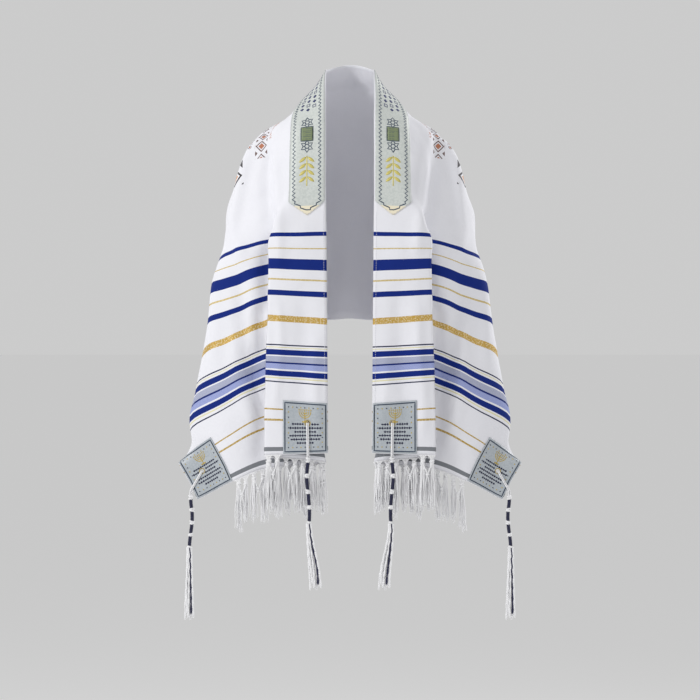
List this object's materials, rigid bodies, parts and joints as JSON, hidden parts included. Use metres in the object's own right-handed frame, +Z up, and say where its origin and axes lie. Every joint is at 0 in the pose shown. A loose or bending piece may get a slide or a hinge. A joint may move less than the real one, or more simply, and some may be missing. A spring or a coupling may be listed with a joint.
{
  "type": "tallit prayer shawl",
  "caption": "Worn striped prayer shawl, hollow, with neckband, corner patches, corner tassels and knotted fringe along both short ends.",
  "frame": {"origin": "the nape: the middle of the neck edge at the back, where the wearer's neck and shoulders carry the shawl", "axes": "+Z up, -Y to the wearer's front, +X to the wearer's left; symmetric in X"},
  "size_m": [0.7138, 0.2551, 1.1759],
  "materials": {
    "shawl_cloth": "woven, soft, striped",
    "brocade_band": "brocade with a low sheen",
    "corner_satin": "satin weave",
    "white_cord": "twisted yarn"
  },
  "bodies": {
    "root": {"corner_patch_inner_left": "corner_satin", "corner_patch_inner_right": "corner_satin", "corner_patch_outer_left": "corner_satin", "corner_patch_outer_right": "corner_satin", "corner_tassel_inner_left": "white_cord", "corner_tassel_inner_right": "white_cord", "corner_tassel_outer_left": "white_cord", "corner_tassel_outer_right": "white_cord", "fringe_left": "white_cord", "fringe_right": "white_cord", "neckband": "brocade_band", "shawl_cloth": "shawl_cloth"}
  },
  "joints": []
}
